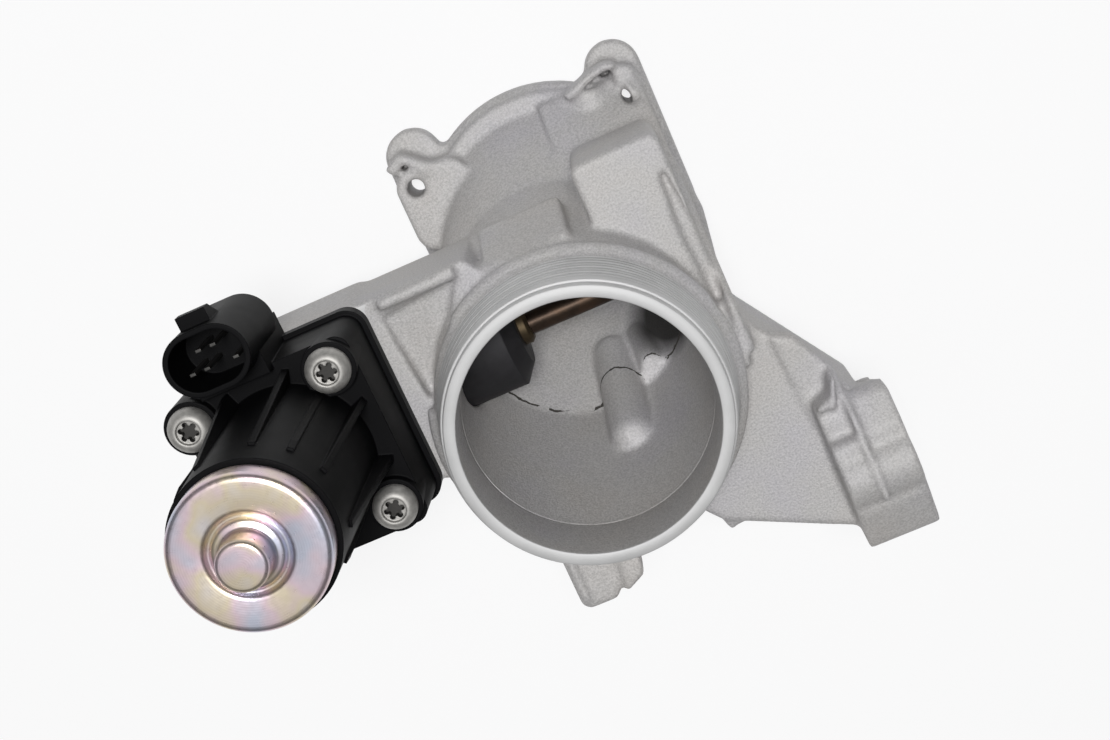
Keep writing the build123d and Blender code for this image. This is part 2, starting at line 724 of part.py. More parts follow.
with BuildPart() as motor_pinion:
    with BuildSketch(Plane(origin=(axis_x, axis_y, upper_wheel_height - 0.5))):
        gear_profile(pinion_teeth, -90)
        Circle(motor_shaft, mode=Mode.SUBTRACT)
    extrude(amount=pinion_width)
motor_pinion.part.label = "motor_pinion"

# ======================================================================= motor
with BuildPart() as rotor_shaft:
    post(axis_x, axis_y, motor_shaft, upper_wheel_height - 0.5, can_top + cap_boss_height - 2)
rotor_shaft.part.label = "rotor_shaft"

rotor_base = can_bottom + 9.0
with BuildPart() as rotor_core:
    with BuildSketch(Plane.XY.offset(rotor_base)):
        with Locations((axis_x, axis_y)):
            Circle(rotor_radius)
            with PolarLocations(rotor_radius, 6):
                Rectangle(5.0, 1.6, mode=Mode.SUBTRACT)
            Circle(motor_shaft, mode=Mode.SUBTRACT)
    extrude(amount=rotor_length)
rotor_core.part.label = "rotor_core"

with BuildPart() as motor_can:
    post(axis_x, axis_y, can_radius, can_bottom, can_top)
    post(axis_x, axis_y, can_radius - can_wall, can_bottom + can_wall, can_top, Mode.SUBTRACT)
    post(axis_x, axis_y, motor_shaft + running_gap, can_bottom, can_bottom + can_wall, Mode.SUBTRACT)
motor_can.part.label = "motor_can"

with BuildPart() as magnets:
    post(axis_x, axis_y, can_radius - can_wall, rotor_base, rotor_base + rotor_length)
    post(axis_x, axis_y, rotor_radius + 0.5, rotor_base, rotor_base + rotor_length, Mode.SUBTRACT)
    with BuildSketch(Plane.XY.offset(rotor_base)):
        with Locations((axis_x, axis_y)):
            Rectangle(8, 2 * can_radius)
    extrude(amount=rotor_length, mode=Mode.SUBTRACT)
magnets.part.label = "motor_magnets"

with BuildPart() as end_cap:
    post(axis_x, axis_y, cap_radius, can_top, can_top + cap_thickness)
    fillet(edges().filter_by(GeomType.CIRCLE).group_by(Axis.Z)[-1], radius=cap_edge)
    post(axis_x, axis_y, cap_ring, can_top + cap_thickness - 1.2, can_top + cap_thickness, Mode.SUBTRACT)
    post(axis_x, axis_y, cap_boss + 1.6, can_top, can_top + cap_thickness)
    post(axis_x, axis_y, cap_boss, can_top, can_top + cap_thickness + cap_boss_height)
    fillet(edges().filter_by(GeomType.CIRCLE).group_by(Axis.Z)[-1], radius=1.0)
    post(axis_x, axis_y, motor_shaft + running_gap, can_top, can_top + cap_boss_height - 2, Mode.SUBTRACT)
end_cap.part.label = "motor_end_cap"

# ============================================================ cover and gasket
with BuildPart() as gasket:
    with BuildSketch(Plane.XY.offset(joint_height)):
        add(box_outline.sketch_local)
        add(pocket_outline.sketch_local, mode=Mode.SUBTRACT)
        with Locations(*screw_spots):
            Circle(tower_boss)
            Circle(screw_radius + 0.3, mode=Mode.SUBTRACT)
    extrude(amount=gasket_thickness)
gasket.part.label = "cover_gasket"

with BuildPart() as cover:
    with BuildSketch(Plane.XY.offset(cover_base)):
        add(box_outline.sketch_local)
    extrude(amount=cover_lip)
    with BuildSketch(Plane.XY.offset(cover_base)):
        add(box_outline.sketch_local)
        offset(amount=-cover_inset, mode=Mode.REPLACE)
    extrude(amount=cover_roof - cover_base, taper=2)
    for x, y in screw_spots:
        post(x, y, tower_boss - 0.4, cover_base, screw_seat)
    # tapered motor barrel with its gussets
    with BuildSketch(Plane.XY.offset(cover_roof - 2)) as barrel_foot:
        with Locations((axis_x, axis_y)):
            Circle(barrel_root)
    with BuildSketch(Plane.XY.offset(barrel_top)) as barrel_head:
        with Locations((axis_x, axis_y)):
            Circle(barrel_top_radius)
    loft(ruled=True)
    for angle in (20, 45, 70, 110, 135, 160, 200, 225, 315, 340):
        spoke = Plane(origin=(axis_x, axis_y, cover_roof - 1), x_dir=(
            math.cos(math.radians(angle)), math.sin(math.radians(angle)), 0), z_dir=(
            math.sin(math.radians(angle)), -math.cos(math.radians(angle)), 0))
        with BuildSketch(spoke):
            with BuildLine():
                Polyline((0, 0), (25.5, 0), (25.5, 3), (barrel_top_radius + 0.9, 50), (0, 50), close=True)
            make_face()
        extrude(amount=gusset / 2, both=True)
    # plug socket
    with BuildSketch(Plane.XY.offset(connector_foot)):
        with Locations((connector[0], connector[1])):
            SlotOverall(connector_width + 2 * connector_wall, connector_depth + 2 * connector_wall)
    extrude(amount=connector[2] - connector_foot)
    with BuildSketch(Plane.XY.offset(cover_base)):
        with Locations((connector[0], connector[1] - 6)):
            Rectangle(connector_width, 10)
    extrude(amount=connector[2] - 12 - cover_base)
    with BuildSketch(Plane.XY.offset(connector[2])):
        with Locations((connector[0], connector[1])):
            SlotOverall(connector_width, connector_depth)
    extrude(amount=-connector_cavity, mode=Mode.SUBTRACT)
    # latch ramp on the outside of the socket
    with BuildSketch(Plane.YZ.offset(connector[0] - 4)):
        with BuildLine():
            latch_y = connector[1] + connector_depth / 2 + connector_wall - 0.5
            Polyline(
                (latch_y, connector[2] - 16), (latch_y + 4, connector[2] - 9),
                (latch_y + 4, connector[2] - 5), (latch_y, connector[2] - 5), close=True,
            )
        make_face()
    extrude(amount=8)
    # inside
    with BuildSketch(Plane.XY.offset(cover_base)):
        add(box_outline.sketch_local)
        offset(amount=-cover_wall - cover_inset, mode=Mode.REPLACE)
        with Locations(*screw_spots):
            Circle(tower_boss - 0.4, mode=Mode.SUBTRACT)
    extrude(amount=cover_roof - cover_wall - cover_base, mode=Mode.SUBTRACT)
    post(axis_x, axis_y, can_radius + running_gap, can_bottom, barrel_top, Mode.SUBTRACT)
    post(axis_x, axis_y, pinion_bore, cover_roof - cover_wall, can_bottom, Mode.SUBTRACT)
    for x, y in screw_spots:
        post(x, y, screw_radius + 0.3, cover_base, screw_seat, Mode.SUBTRACT)
        post(x, y, head_radius + 0.5, screw_seat, barrel_top, Mode.SUBTRACT)
cover.part.label = "actuator_cover"

with BuildPart() as screws:
    for x, y in screw_spots:
        post(x, y, screw_radius, joint_height - thread_reach, screw_seat)
        post(x, y, head_radius, screw_seat, screw_seat + head_height)
    chamfer(edges().filter_by(GeomType.CIRCLE).group_by(Axis.Z)[-1], length=1.4)
    star = [
        (
            (2.7 if step % 2 else 2.0) * math.cos(math.radians(30 * step)),
            (2.7 if step % 2 else 2.0) * math.sin(math.radians(30 * step)),
        )
        for step in range(12)
    ]
    for x, y in screw_spots:
        with BuildSketch(Plane(origin=(x, y, screw_seat + head_height))):
            with BuildLine():
                Polyline(*star, close=True)
            make_face()
        extrude(amount=-2.6, mode=Mode.SUBTRACT)
screws.part.label = "cover_screws"

# ========================================================== electrical pieces
with BuildPart() as pins:
    for x, y in ((-6, -2.5), (-2, 2.5), (-2, -2.5), (2, 2.5), (6, -2.5)):
        with BuildSketch(Plane.XY.offset(connector[2] - connector_cavity)):
            with Locations((connector[0] + x, connector[1] + y)):
                Rectangle(1.5, 0.8)
        extrude(amount=connector_cavity - 4)
pins.part.label = "connector_pins"

with BuildPart() as sensor_magnet:
    post(axis_x, axis_y, output_shaft - 0.8, shaft_top, shaft_top + 1.5)
sensor_magnet.part.label = "sensor_magnet"

os.makedirs("parts", exist_ok=True)
for piece in (
    housing, seat_ring, poppet, stem, guide_tower, guide_bush, stem_seal, spring_retainer,
    spring_seat, return_spring, stem_yoke, follower_axle, follower_roller, cam, drive_shaft,
    output_bush, output_wheel, inter_wheel, inter_axle, motor_pinion, rotor_shaft, rotor_core,
    motor_can, magnets, end_cap, gasket, cover, screws, pins, sensor_magnet,
):
    export_step(piece.part, f"parts/{piece.part.label}.step")
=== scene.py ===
"""Lift-type exhaust gas recirculation valve: finishes and fine pieces around its solids.

Every piece is in metres and in the part's own frame: +Z out of the air mouth,
+X out of the gas inlet flange, the valve stem along X.
"""
import math

import bpy
from bpy.props import FloatProperty, FloatVectorProperty, IntProperty, PointerProperty
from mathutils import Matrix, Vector


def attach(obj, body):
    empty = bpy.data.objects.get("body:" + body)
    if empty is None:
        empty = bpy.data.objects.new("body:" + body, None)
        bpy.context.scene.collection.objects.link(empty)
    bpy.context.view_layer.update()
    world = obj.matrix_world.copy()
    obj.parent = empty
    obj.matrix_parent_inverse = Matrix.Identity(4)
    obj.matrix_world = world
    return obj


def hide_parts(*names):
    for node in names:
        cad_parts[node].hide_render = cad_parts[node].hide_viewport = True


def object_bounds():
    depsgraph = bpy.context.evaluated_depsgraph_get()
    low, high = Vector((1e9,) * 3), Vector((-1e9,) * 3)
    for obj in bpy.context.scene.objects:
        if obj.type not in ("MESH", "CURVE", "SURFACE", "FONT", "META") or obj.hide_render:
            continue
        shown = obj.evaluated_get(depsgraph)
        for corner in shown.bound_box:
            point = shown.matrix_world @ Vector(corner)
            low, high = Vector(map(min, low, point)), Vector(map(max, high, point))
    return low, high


bl_info = {
    "name": "Exhaust Gas Recirculation Valve",
    "version": (1, 0, 0),
    "blender": (4, 5, 0),
    "location": "3D View > Sidebar > Valve",
    "description": "Finishes and fine pieces of an electric lift-type exhaust gas recirculation valve",
    "category": "Object",
}

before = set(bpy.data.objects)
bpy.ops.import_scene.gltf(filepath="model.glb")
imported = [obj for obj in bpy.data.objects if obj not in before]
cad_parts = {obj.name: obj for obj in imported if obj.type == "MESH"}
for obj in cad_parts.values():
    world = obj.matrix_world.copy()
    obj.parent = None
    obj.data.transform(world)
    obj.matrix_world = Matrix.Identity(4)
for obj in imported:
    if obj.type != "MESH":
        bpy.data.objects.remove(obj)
CAD_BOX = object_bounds()

# radii, heights and outlines are in millimetres; what is multiplied by MM is in metres
MM = 0.001
WELD, CAD_WELD = 0.001 * MM, 0.002 * MM      # points closer than this become one
MOUTH_X, MOUTH_Y = -8 * MM, -39 * MM
MOTOR_X, MOTOR_Y = -82.5 * MM, -19 * MM

JOINT_FACE = 72.0             # height of the gearbox's joint face
JOINT_EDGE = -54.0            # the joint face lies on the motor's side of this x
FACE_BAND = 0.15              # a face on the manifold or joint level is found within this

SPIGOT_FOOT = 83.0            # the turned spigot stands on the casting here
SPIGOT_TOP = 105.0
SPIGOT_OVERLAP = 0.4          # how far the casting reaches up inside the spigot's wall
WALL_FOOT, WALL_TOP = (41.0, 79.0), (38.2, 102.0)    # radius and height of the spigot's tapered wall
MOUTH_BORE = 34.0             # radius of the bore
GROOVES, GROOVE_PITCH = 4, 4.2
GROOVE_DEPTH, SCORE_DEPTH = 0.4, 0.22    # a hose groove, and the fine score above it
# section of the spigot's shoulder and rim: radius, height over its top
RIM_SECTION = (
    (38.3, -3.4), (38.05, -3.0), (37.4, -2.9), (37.4, -0.6), (37.2, -0.15), (36.9, 0),
    (34.35, 0), (34.1, -0.1), (MOUTH_BORE, -0.35),
)

SCREW_SEAT = 101.0            # underside of the screw heads
SCREW_REACH_X, SCREW_REACH_Y = 19.6 * MM, 20 * MM
SCREW_SPOTS = [
    (MOTOR_X + side_x * SCREW_REACH_X, MOTOR_Y + side_y * SCREW_REACH_Y)
    for side_x in (-1, 1) for side_y in (-1, 1)
]
SCREW_TURNS = (0.5, 1.15, 0.2)           # how far the copies are turned, in radians
# section of a screw from its tip to the dish in its head: radius, height over the seat
SCREW_SECTION = (
    (0, -43), (2.5, -43), (3.0, -42.4), (3.0, 0), (5.85, 0), (6.0, 0.2), (6.0, 1.2), (5.9, 1.9),
    (5.6, 2.7), (5.1, 3.4), (4.5, 3.9), (3.9, 4.15), (3.45, 4.2), (3.25, 4.1), (3.12, 3.7),
    (3.05, 3.35), (0, 3.2),
)
# recess in a screw's head: a round middle with lobes about it; its height counts from the seat
RECESS_RADIUS, RECESS_MIDDLE, RECESS_DEPTH = 1.85, 3.4, 5.0
LOBES, LOBE_REACH, LOBE_RADIUS = 6, 2.05, 0.74
RECESS_SHADE_RADIUS, RECESS_SHADE_TOP = 2.95, 3.1      # the painted shade in the recess reaches this far out and up

CAP_FOOT = 157.0              # underside of the motor's end cap
# section of the cap over rim, annulus, well and collar to the boss: radius, height over the foot
CAP_SECTION = (
    (0, 0.4), (17.2, 0.4), (17.3, 0), (19.0, 0), (19.0, 4.6), (18.9, 5.3), (18.6, 5.9), (18.1, 6.3),
    (17.5, 6.48), (16.8, 6.5), (10.9, 6.5), (10.4, 6.4), (10.0, 6.1), (9.75, 5.7), (9.5, 5.35), (9.1, 5.2),
    (8.75, 5.25), (8.5, 5.5), (8.35, 5.9), (8.15, 6.2), (7.8, 6.35), (7.0, 6.4), (6.55, 6.5), (6.3, 6.8),
    (6.2, 7.3), (6.2, 12.7), (6.1, 13.2), (5.8, 13.7), (5.3, 13.95), (4.9, 14.0), (0, 13.92),
)

PARTING_LEVEL = 32.0          # height of the parting line in the duct
PORT_SHADE_SPOT = (20, -33, 26)     # middle of the painted shade beside the gas port, a dark patch that stands in for the port's shaded opening
PORT_SHADE_CORE, PORT_SHADE_RIM = 12 * MM, 19 * MM   # the painted shade begins to fade this far from it, and ends
PORT_SHADE_COLOUR = (0.035, 0.033, 0.032)
PARTING_COLOUR = (0.06, 0.055, 0.05)
MIXED = 2                     # number of a mix node's colour output
RING_SPACING = 0.314          # metres between the wave texture's rings at a scale of 1

# cut out of the casting before its skin is rebuilt: outline, plane, low, high and tilt about X
CAST_CUTS = {
    "bridge_pocket": ((
        (-50.6, 3.2), (-27.5, 5.4), (-33.4, -3.6), (-39.4, -9.4), (-43.8, -16), (-46.6, -22.4),
        (-47.8, -27.4),
    ), "XY", 70.4, 95, -8),
    "shelf": (((46, -60), (55.2, -60), (55.2, -78.8), (46, -78.8)), "XY", 72.6, 90, 0),
    "manifold_gap": ((
        (33.6, 8), (35.2, 8), (37.8, -12), (36.6, -31), (33.8, -31), (32.4, -8),
    ), "XY", 63.6, 80, 0),
}
# wall on the low side of the inlet flange, where the housing's solid is open by mistake
INLET_WALL = ((
    (42, -106.6), (47, -108.9), (47, -114), (60.6, -114), (60.6, -91), (42, -91),
), "XY", 34.4, 57.6)
INLET_BORE = 13.0             # radius of the bore
INLET_Y, INLET_Z = -91.0, 46.0
INLET_BACK, INLET_FACE = 46.0, 68.0      # x at which the bore begins, and the flange's face

# ribs, pads and bosses that the casting has besides its solid
CAST_FORMS = {
    "flange_ridge": ((
        (-61, 58), (-61, 66), (-73, 75.4), (-91, 81.4), (-98, 81.2), (-98, 58),
    ), "YZ", 55.2, 56.8, 0),
    "rib_left": (((53.6, -65.6), (54.2, -67.6), (48.4, -69.9), (47.4, -68.4)), "XY", 58, 74.0, 0),
    "rib_right": (((54.0, -61.4), (55.6, -61.4), (52.6, -70.6), (51.2, -70.0)), "XY", 58, 74.4, 0),
    "column_pad": (((46.9, -80.4), (54.2, -79.8), (54.6, -97.4), (47.0, -97.4)), "XY", 58, 77.2, 0),
    "inlet_wedge": ((
        (43.9, -45.9), (49.9, -48.6), (56.8, -62), (57, -66), (47, -76), (45.9, -76),
    ), "XY", 58, 64.6, -2),
    "arm_tab": (((10, -88), (18.5, -88), (17.5, -95.6), (12.5, -96.2)), "XY", 44, 60, 0),
    "manifold_rail": ((
        (34.4, 29.4), (35.8, 29.4), (38.6, 9.4), (41.6, -13.4), (39.2, -31), (37.8, -31), (40.2, -13.6),
        (37.2, 9),
    ), "XY", 4, 21, 0),
    "scoop_wall": ((
        (16.6, 33.6), (25.2, 36.6), (31, 37.8), (34.4, 36.6), (33.6, 34.6), (30.6, 35.4), (25.6, 34.2),
        (17.8, 31.4),
    ), "XY", 6, 22, 0),
    "scoop_boss": ((
        (33.4, 34.4), (36.6, 34.8), (38.6, 32.6), (38.2, 29.4), (35.2, 28.2), (32.4, 29.8), (32, 32.6),
    ), "XY", 6, 19.4, 0),
    "flange_bump": ((
        (17.4, 25.6), (26, 26.2), (30.4, 29.6), (29.4, 32.2), (24.4, 33.2), (18, 31.4),
    ), "XY", 6, 17, 0),
    "lug_brow": ((
        (-41.4, 34.6), (-35.5, 37.6), (-27.6, 31.0), (-29.4, 28.4), (-35.4, 34.0), (-39.6, 31.8),
    ), "XY", 6, 17.6, 0),
    "foot_rib": (((-32.6, -80.6), (-31.0, -80.6), (-31.1, -94.0), (-32.7, -94.0)), "XY", 66, 75.6, 0),
    "foot_rib_right": (((-19.1, -85.6), (-13.0, -86.9), (-13.9, -92.7), (-20.5, -96.0)), "XY", 66, 75.4, 0),
}

# lamps: name, place, size, share of the key's power and the spot they point at, in metres
LAMPS = (
    ("key_lamp", (0.07, 0.22, 1.25), 0.30, 1.0, (0, -0.03, 0.05)),
    ("soft_lamp", (-0.22, -0.05, 1.25), 1.1, 0.2, (0, -0.02, 0.05)),
)
EYE_PLACE = (0.0338, 0.0707, 0.4949)
EYE_TURN = (-14.646, 0.368, -23.871)     # degrees about X, Y and Z
FOCAL_LENGTH, SENSOR_WIDTH = 51.892, 36.0
FLOOR_COLOUR = (0.85, 0.85, 0.86, 1)
FLOOR_GLOW = 0.8              # share of pure white in the floor that the camera and reflections see


# ------------------------------------------------------------------ settings
class CastingSettings(bpy.types.PropertyGroup):
    colour: FloatVectorProperty(
        name="Cast Colour", description="Base colour of the blasted casting",
        subtype="COLOR", size=3, min=0, max=1, default=(0.50, 0.49, 0.485),
    )
    machined_colour: FloatVectorProperty(
        name="Machined Colour", description="Base colour of the turned and milled faces",
        subtype="COLOR", size=3, min=0, max=1, default=(0.54, 0.54, 0.54),
    )
    grain: FloatProperty(
        name="Grain Size", description="Size of the casting's grain",
        unit="LENGTH", min=0.0001, max=0.005, default=0.0006,
    )
    edge: FloatProperty(
        name="Edge Radius", description="Rounding of the casting's edges",
        unit="LENGTH", min=0.0, max=0.003, default=0.0012,
    )
    cell: FloatProperty(
        name="Skin Cell", description="Cell in which the casting's skin is rebuilt",
        unit="LENGTH", min=0.0005, max=0.003, default=0.0008,
    )
    softness: IntProperty(
        name="Softness", description="Passes that round the casting's edges and corners",
        min=0, max=60, default=9,
    )
    triangles: IntProperty(
        name="Triangles", description="Most triangles in the casting's skin",
        min=20000, max=198000, default=190000,
    )


class CoverSettings(bpy.types.PropertyGroup):
    colour: FloatVectorProperty(
        name="Plastic Colour", description="Base colour of the moulded cover",
        subtype="COLOR", size=3, min=0, max=1, default=(0.003, 0.003, 0.0035),
    )
    grain: FloatProperty(
        name="Grain Size", description="Size of the moulded grain",
        unit="LENGTH", min=0.0001, max=0.002, default=0.0004,
    )


class MotorSettings(bpy.types.PropertyGroup):
    plating_yellow: FloatVectorProperty(
        name="Plating Yellow", description="Straw tone of the zinc plating",
        subtype="COLOR", size=3, min=0, max=1, default=(0.70, 0.61, 0.46),
    )
    plating_blue: FloatVectorProperty(
        name="Plating Blue", description="Bluish tone of the zinc plating",
        subtype="COLOR", size=3, min=0, max=1, default=(0.56, 0.58, 0.68),
    )
    plating_pink: FloatVectorProperty(
        name="Plating Pink", description="Pinkish tone of the zinc plating",
        subtype="COLOR", size=3, min=0, max=1, default=(0.70, 0.56, 0.61),
    )


class ValveSettings(bpy.types.PropertyGroup):
    stem_colour: FloatVectorProperty(
        name="Stem Colour", description="Heat-tinted steel of the stem and poppet",
        subtype="COLOR", size=3, min=0, max=1, default=(0.055, 0.038, 0.028),
    )
    tower_colour: FloatVectorProperty(
        name="Guide Tower Colour", description="Dark cast iron of the guide tower",
        subtype="COLOR", size=3, min=0, max=1, default=(0.030, 0.029, 0.032),
    )


class StageSettings(bpy.types.PropertyGroup):
    key_power: FloatProperty(
        name="Key Light", description="Power of the key lamp, which the soft lamp follows",
        unit="POWER", min=0, default=11.5,
    )
    fill_strength: FloatProperty(
        name="Fill", description="Strength of the surrounding light", min=0, default=0.13,
    )
    floor_size: FloatProperty(
        name="Floor Size", description="Side of the floor", unit="LENGTH", min=1, default=14.0,
    )


# ----------------------------------------------------------------- materials
class Finish:
    """A material under construction: nodes are added and wired by short calls."""

    def __init__(self, name):
        self.material = bpy.data.materials.new(name)
        self.material.use_nodes = True
        self.tree = self.material.node_tree
        self.tree.nodes.clear()
        self.output = self.tree.nodes.new("ShaderNodeOutputMaterial")
        self.shader = self.tree.nodes.new("ShaderNodeBsdfPrincipled")
        self.link(self.shader, "BSDF", self.output, "Surface")
        self.place = self.tree.nodes.new("ShaderNodeTexCoord")

    def link(self, source, out, target, socket):
        self.tree.links.new(source.outputs[out], target.inputs[socket])

    def node(self, kind, **values):
        made = self.tree.nodes.new(kind)
        for key, value in values.items():
            if hasattr(made, key):
                setattr(made, key, value)
            else:
                made.inputs[key.replace("_", " ").title()].default_value = value
        return made

    def spots(self, size, detail=4.0, roughness=0.55):
        """Noise whose spots are about size metres across."""
        noise = self.node("ShaderNodeTexNoise", scale=1.0 / size, detail=detail, roughness=roughness)
        self.link(self.place, "Object", noise, "Vector")
        return noise

    def ramp(self, source, out, stops):
        """Colour or value ramp; stops are (position, colour)."""
        ramp = self.node("ShaderNodeValToRGB")
        band = ramp.color_ramp
        while len(band.elements) < len(stops):
            band.elements.new(0.5)
        for element, (position, colour) in zip(band.elements, stops):
            element.position = position
            element.color = (*colour, 1.0) if len(colour) == 3 else colour
        self.link(source, out, ramp, "Fac")
        return ramp

    def spread(self, source, out, low, high, start=0.0, end=1.0):
        """Source values start..end spread over low..high."""
        spread = self.node("ShaderNodeMapRange")
        spread.inputs["From Min"].default_value = start
        spread.inputs["From Max"].default_value = end
        spread.inputs["To Min"].default_value = low
        spread.inputs["To Max"].default_value = high
        self.link(source, out, spread, "Value")
        return spread

    def feed(self, socket, value):
        """Give a socket a number, a colour or the output of a node, as (node, output)."""
        if not isinstance(value, tuple):
            socket.default_value = value
        elif isinstance(value[0], bpy.types.Node):
            self.tree.links.new(value[0].outputs[value[1]], socket)
        else:
            socket.default_value = (*value, 1.0)

    def mix(self, factor, first, second):
        """Colour mix, from all of the first at 0 to all of the second at 1."""
        mix = self.node("ShaderNodeMix", data_type="RGBA")
        for number, value in ((0, factor), (6, first), (7, second)):
            self.feed(mix.inputs[number], value)
        return mix

    def rounded(self, radius):
        """Normal of the surface with its edges rounded."""
        bevel = self.node("ShaderNodeBevel", samples=6)
        bevel.inputs["Radius"].default_value = radius
        return bevel

    def edges(self, bevel):
        """Mask that is 1 where a rounded normal leaves the surface's own, along its edges."""
        geometry = self.node("ShaderNodeNewGeometry")
        match = self.node("ShaderNodeVectorMath", operation="DOT_PRODUCT")
        self.link(bevel, "Normal", match, 0)
        self.link(geometry, "Normal", match, 1)
        return self.spread(match, "Value", low=1.0, high=0.0, start=0.75, end=0.995)

    def maths(self, operation, *values):
        """Math node; each value is a number or (node, output)."""
        made = self.node("ShaderNodeMath", operation=operation)
        for socket, value in zip(made.inputs, values):
            self.feed(socket, value)
        return made

    def facing(self):
        """Parts of the surface's own normal."""
        geometry = self.node("ShaderNodeNewGeometry")
        split = self.node("ShaderNodeSeparateXYZ")
        self.link(geometry, "True Normal", split, "Vector")
        return split

    def near(self, spot, inner, outer):
        """Mask that is 1 within inner metres of a spot in millimetres and 0 past outer."""
        gap = self.node("ShaderNodeVectorMath", operation="DISTANCE")
        self.link(self.place, "Object", gap, "Vector")
        gap.inputs[1].default_value = [c * MM for c in spot]
        return self.spread(gap, "Value", low=1.0, high=0.0, start=inner, end=outer)

    def bump(self, source, out, strength, distance, under=None):
        """Bump from a source, over another bump or rounded-edge normal."""
        bump = self.node("ShaderNodeBump")
        bump.inputs["Strength"].default_value = strength
        bump.inputs["Distance"].default_value = distance
        self.link(source, out, bump, "Height")
        if under is not None:
            self.link(under, "Normal", bump, "Normal")
        return bump

    def rings(self, centre, axis, pitch):
        """Fine turning rings about an axis through centre."""
        shift = self.node("ShaderNodeMapping")
        shift.inputs["Location"].default_value = [-c for c in centre]
        self.link(self.place, "Object", shift, "Vector")
        wave = self.node("ShaderNodeTexWave", wave_type="RINGS", rings_direction=axis)
        wave.inputs["Scale"].default_value = RING_SPACING / pitch
        wave.inputs["Distortion"].default_value = 0.6
        wave.inputs["Detail"].default_value = 1.0
        self.link(shift, "Vector", wave, "Vector")
        return wave

    def colour(self, node, out):
        self.link(node, out, self.shader, "Base Color")

    def rough(self, node, out):
        self.link(node, out, self.shader, "Roughness")

    def normal(self, node):
        self.link(node, "Normal", self.shader, "Normal")


def shade(colour, factor):
    """A colour made lighter or darker."""
    return tuple(min(1.0, c * factor) for c in colour)


def cast_aluminium(settings):
    """Shot-blasted die casting: fine grain, faint lavender and brown clouds, lighter edges, and painted
    shade beside the gas port.
    """
    finish = Finish("cast_aluminium")
    base = tuple(settings.colour)
    clouds = finish.spots(size=0.035, detail=3.0)
    tone = finish.ramp(clouds, "Fac", (
        (0.30, (base[0] * 1.02, base[1] * 0.99, base[2] * 0.95)),
        (0.50, base),
        (0.70, (base[0] * 0.96, base[1] * 0.955, base[2] * 1.04)),
    ))
    grain = finish.spots(settings.grain, detail=5.0, roughness=0.65)
    speckle = finish.ramp(grain, "Fac", ((0.38, shade(base, 0.62)), (0.60, shade(base, 1.28))))
    speckle_share = 0.45
    grainy = finish.mix(speckle_share, (tone, "Color"), (speckle, "Color"))
    bevel = finish.rounded(settings.edge)
    worn = finish.mix((finish.edges(bevel), "Result"), (grainy, MIXED), shade(base, 1.25))
    # painted shade: the casting is darkened about a spot beside the gas port, where the port's opening and
    # the finger's foot lie in shade
    port_shade = finish.near(PORT_SHADE_SPOT, PORT_SHADE_CORE, PORT_SHADE_RIM)
    port_shaded = finish.mix((port_shade, "Result"), (worn, MIXED), PORT_SHADE_COLOUR)
    finish.colour(finish.mix((parting_line(finish), "Value"), (port_shaded, MIXED), PARTING_COLOUR), MIXED)
    finish.shader.inputs["Metallic"].default_value = 0.35
    finish.rough(finish.spread(grain, "Fac", low=0.54, high=0.74), "Result")
    coarse = finish.spots(settings.grain * 3.2, detail=3.0)
    fine_bump = finish.bump(grain, "Fac", strength=0.7, distance=0.00028, under=bevel)
    finish.normal(finish.bump(coarse, "Fac", strength=0.16, distance=0.0004, under=fine_bump))
    return finish.material


def parting_line(finish):
    """Mask of the broken dark line where the duct's two cores met."""
    wander_height, half_width = 2.2 * MM, 0.32 * MM
    inside, outside = 35.5 * MM, 36.5 * MM      # the line fades out between these, from the duct's middle
    flattest, dash_share = 0.82, 0.44
    split = finish.node("ShaderNodeSeparateXYZ")
    finish.link(finish.place, "Object", split, "Vector")
    wander = finish.spots(size=0.004, detail=3.0)
    height = finish.maths("MULTIPLY_ADD", (wander, "Fac"), wander_height, (split, "Z"))
    level = PARTING_LEVEL * MM + wander_height / 2
    line = finish.maths("COMPARE", (height, "Value"), level, half_width)
    duct = finish.near((MOUTH_X / MM, MOUTH_Y / MM, PARTING_LEVEL), inside, outside)
    steep = finish.maths("LESS_THAN", (finish.facing(), "Z"), flattest)
    on_wall = finish.maths("MULTIPLY", (line, "Value"), (steep, "Value"))
    in_duct = finish.maths("MULTIPLY", (on_wall, "Value"), (duct, "Result"))
    dashes = finish.maths("GREATER_THAN", (finish.spots(size=0.007, detail=1.0), "Fac"), dash_share)
    return finish.maths("MULTIPLY", (in_duct, "Value"), (dashes, "Value"))


def machined_aluminium(settings, name, centre, axis, pitch):
    """Turned or milled face of the casting, with fine tool rings about an axis."""
    finish = Finish(name)
    base = tuple(settings.machined_colour)
    rings = finish.rings(centre, axis, pitch)
    clouds = finish.spots(size=0.012, detail=3.0)
    finish.colour(finish.ramp(clouds, "Fac", ((0.3, shade(base, 0.92)), (0.7, shade(base, 1.06)))), "Color")
    finish.shader.inputs["Metallic"].default_value = 0.4
    finish.rough(finish.spread(clouds, "Fac", low=0.52, high=0.68), "Result")
    bevel = finish.rounded(radius=0.0004)
    finish.normal(finish.bump(rings, "Fac", strength=0.12, distance=0.00006, under=bevel))
    return finish.material


def moulded_plastic(name, colour, grain, rough=(0.42, 0.6), edge=0.0006):
    """Moulded plastic with a fine spark-eroded grain and a slight painted sheen that lightens the colour
    along its edges.
    """
    finish = Finish(name)
    spots = finish.spots(grain, detail=3.0)
    clouds = finish.spots(size=0.02, detail=3.0)
    bevel = finish.rounded(edge)
    tone = finish.ramp(clouds, "Fac", ((0.3, shade(colour, 0.85)), (0.7, shade(colour, 1.2))))
    # painted sheen: the edges' colour is lifted to stand in for gloss highlights
    bright = finish.mix((finish.edges(bevel), "Result"), (tone, "Color"), shade(colour, 1.8))
    finish.colour(bright, MIXED)
    finish.rough(finish.spread(clouds, "Fac", low=rough[1], high=rough[0]), "Result")
    finish.shader.inputs["Specular IOR Level"].default_value = 0.07
    finish.normal(finish.bump(spots, "Fac", strength=0.18, distance=0.00008, under=bevel))
    return finish.material


